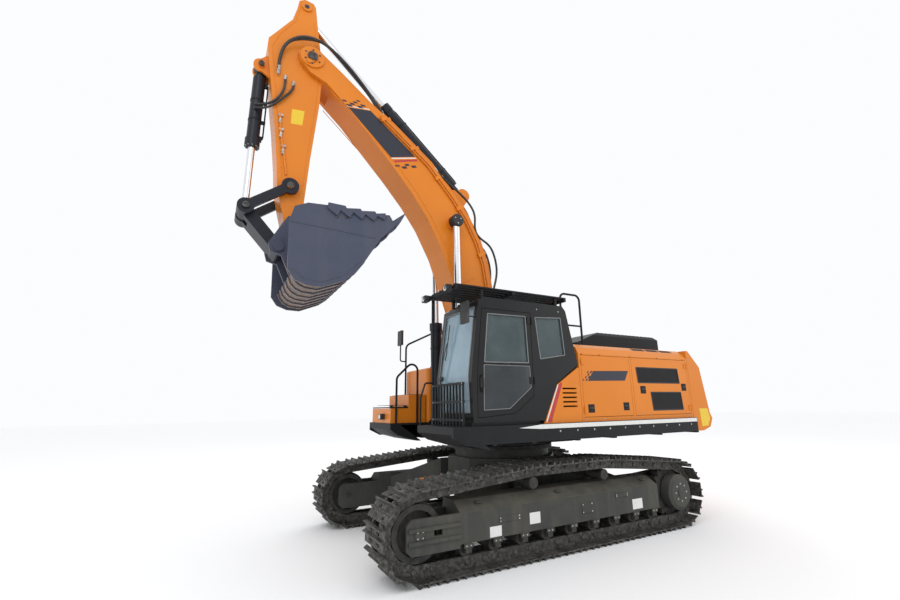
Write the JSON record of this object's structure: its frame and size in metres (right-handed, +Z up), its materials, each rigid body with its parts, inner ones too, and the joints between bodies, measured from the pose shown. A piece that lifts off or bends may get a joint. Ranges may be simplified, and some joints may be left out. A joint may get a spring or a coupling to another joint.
{
  "type": "crawler excavator",
  "caption": "Tracked hydraulic excavator with a bent boom, arm and toothed bucket, side cab with roof guard, rear counterweight and opening service doors.",
  "frame": {"origin": "middle of the machine's box, on the ground under the tracks", "axes": "+X forward to the bucket, +Y to the operator's left, +Z up"},
  "size_m": [7.8451, 3.34, 8.0288],
  "materials": {
    "orange_paint": "satin orange paint, a little dusty",
    "dark_paint": "semi-matt black paint",
    "grey_paint": "dusty dark grey-green paint",
    "navy_paint": "dark blue-black paint",
    "bucket_paint": "slate blue-grey paint, worn",
    "track_steel": "worn bare steel with dust",
    "wheel_steel": "dusty cast steel",
    "rod_chrome": "polished chrome",
    "weight_iron": "painted casting, orange",
    "cab_paint": "gloss black paint",
    "window": "tinted glass",
    "seat_cloth": "woven dark cloth",
    "dark_plastic": "grained dark plastic",
    "lamp_lens": "clear lens on a black body",
    "engine_iron": "dark casting"
  },
  "bodies": {
    "undercarriage": {"car_body": "grey_paint", "tow_eyes": "grey_paint", "track_frames": "grey_paint", "track_left": "track_steel", "track_right": "track_steel", "idlers": "wheel_steel", "sprockets": "wheel_steel", "final_drives": "grey_paint", "track_rollers": "wheel_steel", "slewing_ring": "wheel_steel"},
    "upper": {"platform": "dark_paint", "counterweight": "weight_iron", "hood": "orange_paint", "side_panel": "orange_paint", "tanks": "orange_paint", "tool_box": "orange_paint", "engine": "engine_iron", "exhaust": "dark_paint", "handrails": "dark_paint", "cab_shell": "cab_paint", "cab_glass": "window", "seat": "seat_cloth", "consoles": "dark_plastic", "cab_guards": "dark_paint", "mirrors": "dark_plastic", "lamps": "lamp_lens"},
    "door_front": {"door_left_front": "orange_paint"},
    "door_rear": {"door_left_rear": "orange_paint", "vents_left": "dark_paint"},
    "door_side_right": {"door_right": "orange_paint"},
    "bonnet": {"engine_bonnet": "dark_paint"},
    "box_lid": {"tool_box_lid": "dark_paint"},
    "cab_entry_door": {"cab_door": "cab_paint", "door_glass": "window"},
    "boom_body": {"boom": "orange_paint"},
    "arm_body": {"arm": "orange_paint"},
    "side_link_pair": {"side_links": "navy_paint"},
    "bucket_h_link": {"bucket_link": "navy_paint"},
    "bucket_body": {"bucket": "bucket_paint"},
    "boom_cylinder": {"boom_barrels": "navy_paint"},
    "boom_cylinder_rods": {"boom_rods": "rod_chrome"},
    "arm_cylinder": {"arm_barrel": "navy_paint"},
    "arm_cylinder_rod": {"arm_rod": "rod_chrome"},
    "bucket_cylinder": {"bucket_barrel": "navy_paint"},
    "bucket_cylinder_rod": {"bucket_rod": "rod_chrome"}
  },
  "joints": [
    {"name": "swing", "type": "hinge", "parent": "undercarriage", "child": "upper", "pos_m": [-0.23263, 0, 1.244], "axis": [0, 0, 1], "continuous": true},
    {"name": "boom_lift", "type": "hinge", "parent": "upper", "child": "boom_body", "pos_m": [-0.08263, 0, 2.07], "axis": [0, 1, 0], "range_deg": [-4, 101]},
    {"name": "arm_swing", "type": "hinge", "parent": "boom_body", "child": "arm_body", "pos_m": [3.1473, 0, 6.9499], "axis": [0, -1, 0], "range_deg": [-3, 110]},
    {"name": "bucket_curl", "type": "hinge", "parent": "arm_body", "child": "bucket_body", "pos_m": [3.20736, 0, 4.21956], "axis": [0, -1, 0], "range_deg": [-25, 105]},
    {"name": "boom_cylinder_tilt", "type": "hinge", "parent": "upper", "child": "boom_cylinder", "pos_m": [0.71737, 0, 1.48], "axis": [0, 1, 0], "range_deg": [-4.6, 114]},
    {"name": "boom_cylinder_stroke", "type": "slide", "parent": "boom_cylinder", "child": "boom_cylinder_rods", "axis": [0.0154, 0, 0.9999], "range_m": [-1.438, 0.0572]},
    {"name": "arm_cylinder_tilt", "type": "hinge", "parent": "boom_body", "child": "arm_cylinder", "pos_m": [0.45001, 0, 5.37502], "axis": [0, 1, 0], "range_deg": [-0.11, 3.8]},
    {"name": "arm_cylinder_stroke", "type": "slide", "parent": "arm_cylinder", "child": "arm_cylinder_rod", "axis": [0.7474, 0, 0.6643], "range_m": [-1.5445, 0.0425]},
    {"name": "side_link_turn", "type": "hinge", "parent": "arm_body", "child": "side_link_pair", "pos_m": [3.29728, 0, 4.76967], "axis": [0, 1, 0], "range_deg": [-54.5, 13.1]},
    {"name": "bucket_link_turn", "type": "hinge", "parent": "side_link_pair", "child": "bucket_h_link", "pos_m": [3.81731, 0, 4.36501], "axis": [0, 1, 0], "range_deg": [-12.1, 50.5]},
    {"name": "bucket_cylinder_tilt", "type": "hinge", "parent": "arm_body", "child": "bucket_cylinder", "pos_m": [3.81763, 0, 6.66957], "axis": [0, 1, 0], "range_deg": [-4.1, 1]},
    {"name": "bucket_cylinder_stroke", "type": "slide", "parent": "bucket_cylinder", "child": "bucket_cylinder_rod", "axis": [-0.0001, 0, -1], "range_m": [-0.5855, 0.1395]},
    {"name": "cab_door_hinge", "type": "hinge", "parent": "upper", "child": "cab_entry_door", "pos_m": [0.20737, 1.511, 2.5], "axis": [0, 0, 1], "range_deg": [0, 165]},
    {"name": "door_left_front_hinge", "type": "hinge", "parent": "upper", "child": "door_front", "pos_m": [-0.65563, 1.512, 2], "axis": [0, 0, -1], "range_deg": [0, 75]},
    {"name": "door_left_rear_hinge", "type": "hinge", "parent": "upper", "child": "door_rear", "pos_m": [-3.05363, 1.512, 2], "axis": [0, 0, 1], "range_deg": [0, 100]},
    {"name": "door_right_hinge", "type": "hinge", "parent": "upper", "child": "door_side_right", "pos_m": [-3.05363, -1.512, 2], "axis": [0, 0, -1], "range_deg": [0, 100]},
    {"name": "bonnet_hinge", "type": "hinge", "parent": "upper", "child": "bonnet", "pos_m": [-3.30263, 0, 2.658], "axis": [0, -1, 0], "range_deg": [0, 60]},
    {"name": "box_lid_hinge", "type": "hinge", "parent": "upper", "child": "box_lid", "pos_m": [1.16037, -1.02, 1.8017], "axis": [0, -1, 0], "range_deg": [0, 80]}
  ],
  "couplings": [
    {"joint": "boom_cylinder_tilt", "follows": "boom_lift", "ratio": 1.127},
    {"joint": "boom_cylinder_stroke", "follows": "boom_lift", "m_per_rad": -0.8155},
    {"joint": "arm_cylinder_tilt", "follows": "arm_swing", "ratio": 0.0337},
    {"joint": "arm_cylinder_stroke", "follows": "arm_swing", "m_per_rad": -0.8042},
    {"joint": "side_link_turn", "follows": "bucket_curl", "ratio": -0.517},
    {"joint": "bucket_link_turn", "follows": "bucket_curl", "ratio": 0.48},
    {"joint": "bucket_cylinder_tilt", "follows": "bucket_curl", "ratio": -0.038},
    {"joint": "bucket_cylinder_stroke", "follows": "bucket_curl", "m_per_rad": -0.319}
  ]
}
